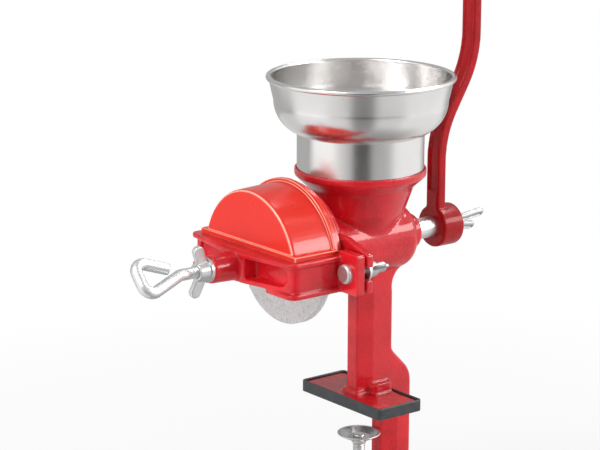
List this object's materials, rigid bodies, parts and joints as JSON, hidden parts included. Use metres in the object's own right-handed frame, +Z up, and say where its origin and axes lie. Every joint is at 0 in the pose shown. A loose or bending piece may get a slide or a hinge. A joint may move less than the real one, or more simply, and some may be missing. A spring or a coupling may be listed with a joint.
{
  "type": "hand grain mill",
  "caption": "Table clamp hand mill with a steel hopper, feed worm, disc burrs under a lift off cover, an adjusting screw and a long crank.",
  "frame": {"origin": "middle of the underside of the rubber covered table pad", "axes": "+Z up, +X along the shaft from the adjusting screw to the crank, +Y away from the pictured side"},
  "size_m": [0.4457, 0.1794, 0.5],
  "materials": {
    "red_enamel": "gloss enamel over cast iron",
    "red_plastic": "gloss",
    "black_rubber": "matt",
    "polished_steel": "polished",
    "ground_steel": "ground",
    "zinc_steel": "zinc plated",
    "cast_grey": "sand cast",
    "varnished_wood": "varnished"
  },
  "bodies": {
    "frame": {"mill_body": "red_enamel", "table_boot": "black_rubber", "fixed_burr": "cast_grey", "fixed_burr_screws": "zinc_steel", "yoke": "red_enamel", "yoke_bolts": "zinc_steel"},
    "thrust_ball": {"thrust_ball": "ground_steel"},
    "adjusting_screw": {"adjusting_screw": "zinc_steel"},
    "crank": {"drive_shaft": "ground_steel", "feed_worm": "cast_grey", "worm_pin": "ground_steel", "carrier_pin": "ground_steel", "burr_carrier": "cast_grey", "turning_burr": "cast_grey", "turning_burr_screws": "zinc_steel", "crank_arm": "red_enamel", "grip_spindle": "zinc_steel", "grip_washer": "zinc_steel", "grip_cap_nut": "zinc_steel"},
    "grip": {"grip": "varnished_wood"},
    "lock_washer": {"lock_washer": "zinc_steel"},
    "lock_nut": {"lock_wing_nut": "zinc_steel"},
    "near_washer": {"near_washer": "zinc_steel"},
    "near_nut": {"near_wing_nut": "zinc_steel"},
    "far_washer": {"far_washer": "zinc_steel"},
    "far_nut": {"far_wing_nut": "zinc_steel"},
    "crank_washer": {"crank_washer": "zinc_steel"},
    "crank_screw": {"crank_wing_screw": "zinc_steel"},
    "clamp_disc": {"clamp_disc": "zinc_steel"},
    "clamp_screw": {"clamp_screw": "zinc_steel"},
    "tee_bar": {"tee_bar": "zinc_steel", "tee_bar_ends": "zinc_steel"},
    "hopper": {"hopper": "polished_steel"},
    "cover": {"burr_cover": "red_plastic"}
  },
  "joints": [
    {"name": "adjust_feed", "type": "slide", "parent": "frame", "child": "thrust_ball", "axis": [1, 0, 0], "range_m": [-0.0015, 0.0005]},
    {"name": "adjust_turn", "type": "hinge", "parent": "thrust_ball", "child": "adjusting_screw", "pos_m": [-0.123, 0, 0.1345], "axis": [1, 0, 0], "range_deg": [-360, 120]},
    {"name": "crank_turn", "type": "hinge", "parent": "thrust_ball", "child": "crank", "pos_m": [-0.003, 0, 0.1345], "axis": [1, 0, 0], "continuous": true},
    {"name": "grip_spin", "type": "hinge", "parent": "crank", "child": "grip", "pos_m": [0.177, 0, 0.3595], "axis": [1, 0, 0], "continuous": true},
    {"name": "lock_slide", "type": "slide", "parent": "frame", "child": "lock_washer", "axis": [-1, 0, 0], "range_m": [0, 0.003]},
    {"name": "lock_turn", "type": "hinge", "parent": "lock_washer", "child": "lock_nut", "pos_m": [-0.158, 0, 0.1345], "axis": [-1, 0, 0], "range_deg": [0, 720]},
    {"name": "near_slide", "type": "slide", "parent": "frame", "child": "near_washer", "axis": [1, 0, 0], "range_m": [0, 0.00375]},
    {"name": "near_turn", "type": "hinge", "parent": "near_washer", "child": "near_nut", "pos_m": [-0.053, -0.073, 0.1345], "axis": [1, 0, 0], "range_deg": [0, 1080]},
    {"name": "far_slide", "type": "slide", "parent": "frame", "child": "far_washer", "axis": [1, 0, 0], "range_m": [0, 0.00375]},
    {"name": "far_turn", "type": "hinge", "parent": "far_washer", "child": "far_nut", "pos_m": [-0.053, 0.073, 0.1345], "axis": [1, 0, 0], "range_deg": [0, 1080]},
    {"name": "crank_screw_slide", "type": "slide", "parent": "crank", "child": "crank_washer", "axis": [1, 0, 0], "range_m": [0, 0.005]},
    {"name": "crank_screw_turn", "type": "hinge", "parent": "crank_washer", "child": "crank_screw", "pos_m": [0.097, 0, 0.1345], "axis": [1, 0, 0], "range_deg": [0, 1440]},
    {"name": "clamp_travel", "type": "slide", "parent": "frame", "child": "clamp_disc", "axis": [0, 0, 1], "range_m": [-0.018, 0.02625]},
    {"name": "clamp_turn", "type": "hinge", "parent": "clamp_disc", "child": "clamp_screw", "pos_m": [-0.0016, 0, -0.06], "axis": [0, 0, 1], "range_deg": [-4320, 6300]},
    {"name": "tee_bar_slide", "type": "slide", "parent": "clamp_screw", "child": "tee_bar", "axis": [0, 1, 0], "range_m": [-0.026, 0.026]},
    {"name": "hopper_lift", "type": "slide", "parent": "frame", "child": "hopper", "axis": [0, 0, 1], "range_m": [0, 0.08]},
    {"name": "cover_lift", "type": "slide", "parent": "frame", "child": "cover", "axis": [0, 0, 1], "range_m": [0, 0.025]}
  ],
  "couplings": [
    {"joint": "adjust_turn", "follows": "adjust_feed", "rad_per_m": 4188.8},
    {"joint": "lock_slide", "follows": "lock_turn", "m_per_rad": 0.00023873},
    {"joint": "near_slide", "follows": "near_turn", "m_per_rad": 0.00019894},
    {"joint": "far_slide", "follows": "far_turn", "m_per_rad": 0.00019894},
    {"joint": "crank_screw_turn", "follows": "crank_screw_slide", "rad_per_m": 5026.5},
    {"joint": "clamp_travel", "follows": "clamp_turn", "m_per_rad": 0.00023873}
  ]
}
